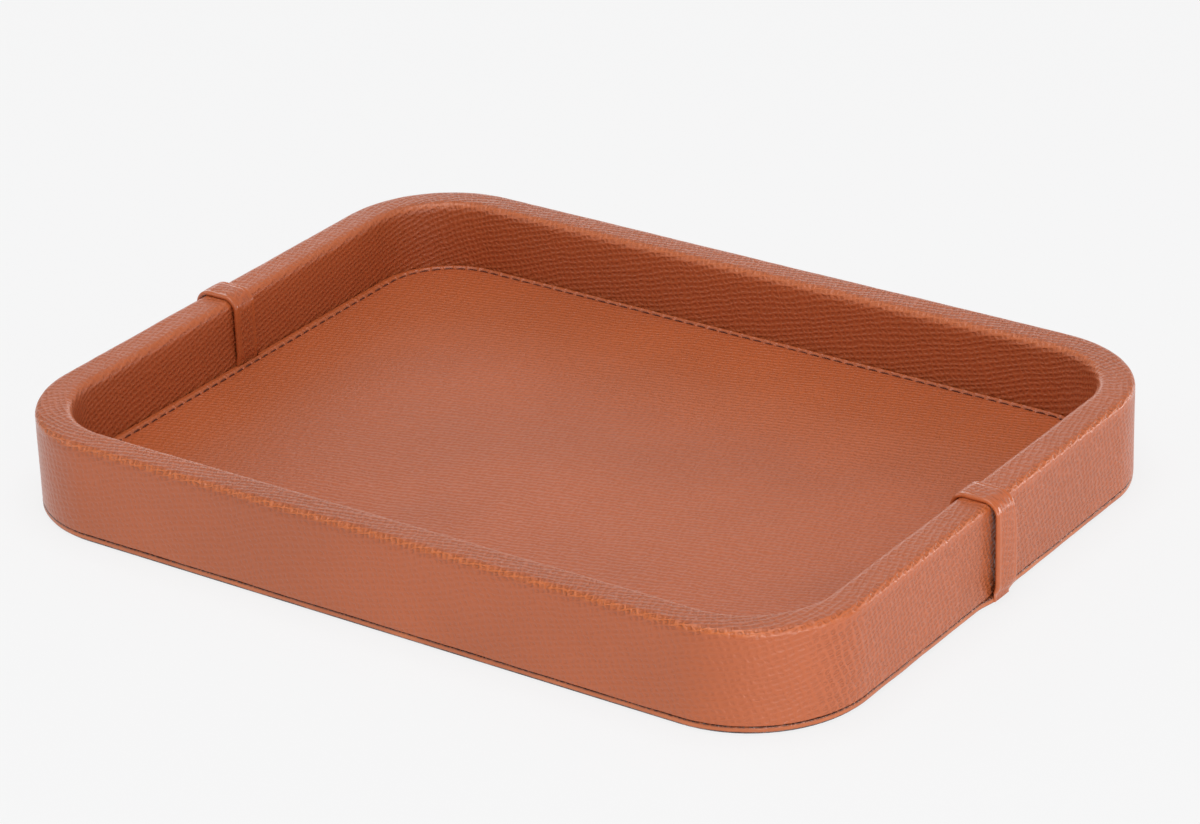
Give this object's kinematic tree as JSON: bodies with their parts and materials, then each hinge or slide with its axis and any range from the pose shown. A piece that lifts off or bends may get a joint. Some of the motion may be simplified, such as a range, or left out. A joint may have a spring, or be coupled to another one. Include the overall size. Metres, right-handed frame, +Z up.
{
  "type": "tray",
  "caption": "Low rectangular serving tray with rounded corners, leather-wrapped walls, a stitched leather mat inside and a leather strap over each end wall.",
  "frame": {"origin": "middle of the footprint, on the table that the tray stands on", "axes": "+X along the long side, towards the right strap; +Y along the short side, away from the front wall; +Z up"},
  "size_m": [0.3434, 0.2594, 0.0397],
  "materials": {
    "rim_leather": "embossed pebble grain, satin",
    "base_leather": "smooth turned edge, satin",
    "mat_leather": "embossed pebble grain, satin",
    "strap_leather": "embossed pebble grain, satin",
    "thread": "waxed dark brown thread",
    "lining_felt": "short-pile felt",
    "fibreboard": "raw fibreboard",
    "frame_wood": "raw planed wood",
    "dowel_wood": "fluted beech",
    "greyboard": "raw grey board",
    "steel": "zinc plated"
  },
  "bodies": {
    "root": {"underside_lining": "lining_felt", "base_board": "fibreboard", "base_cover": "base_leather", "base_screws": "steel", "floor_board": "fibreboard", "floor_brads": "steel", "rail_front": "frame_wood", "rail_back": "frame_wood", "rail_left": "frame_wood", "rail_right": "frame_wood", "corner_front_left": "frame_wood", "corner_front_right": "frame_wood", "corner_back_left": "frame_wood", "corner_back_right": "frame_wood", "frame_dowels": "dowel_wood", "rim_wrap_front": "rim_leather", "rim_wrap_back": "rim_leather", "mat_board": "greyboard", "mat_leather": "mat_leather", "mat_stitching": "thread", "strap_core_left": "greyboard", "strap_core_right": "greyboard", "strap_left": "strap_leather", "strap_right": "strap_leather"}
  },
  "joints": []
}
